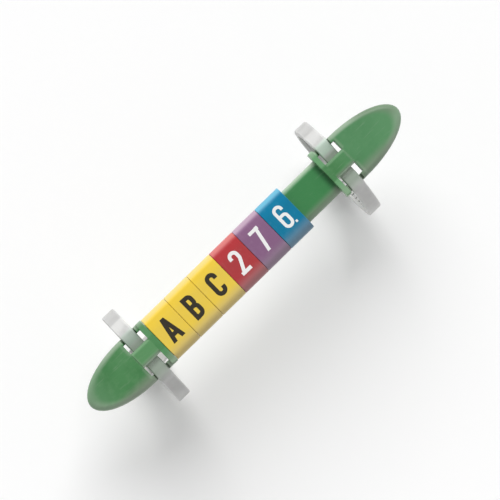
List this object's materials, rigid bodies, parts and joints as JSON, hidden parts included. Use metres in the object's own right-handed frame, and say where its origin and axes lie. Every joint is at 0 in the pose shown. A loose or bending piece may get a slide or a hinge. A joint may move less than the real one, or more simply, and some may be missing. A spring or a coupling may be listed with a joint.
{
  "type": "cable marker",
  "caption": "Clip-on cable identification marker: coloured character sleeves on a moulded carrier strip, held on a round cable by nylon ties.",
  "frame": {"origin": "on the axis of the cable, midway between the carrier's two tie windows", "axes": "+X along the cable, from the round end of the carrier to the pointed end; +Z out from the cable to the reading face"},
  "size_m": [0.0695, 0.0186, 0.0235],
  "materials": {
    "green_moulding": "satin, lightly worn moulded plastic",
    "yellow_sleeve": "semi-gloss, black printed letter",
    "red_sleeve": "semi-gloss, white printed numeral",
    "violet_sleeve": "semi-gloss, white printed numeral",
    "blue_sleeve": "semi-gloss, white printed numeral",
    "natural_nylon": "natural, slightly translucent nylon"
  },
  "bodies": {
    "carrier": {"carrier": "green_moulding", "tie_left": "natural_nylon", "tie_right": "natural_nylon"},
    "marker_row": {"marker_1": "yellow_sleeve", "marker_2": "yellow_sleeve", "marker_3": "yellow_sleeve", "marker_4": "red_sleeve", "marker_5": "violet_sleeve", "marker_6": "blue_sleeve"}
  },
  "joints": [
    {"name": "marker_row_slide", "type": "slide", "parent": "carrier", "child": "marker_row", "axis": [1, 0, 0], "range_m": [0, 0.0072]}
  ]
}
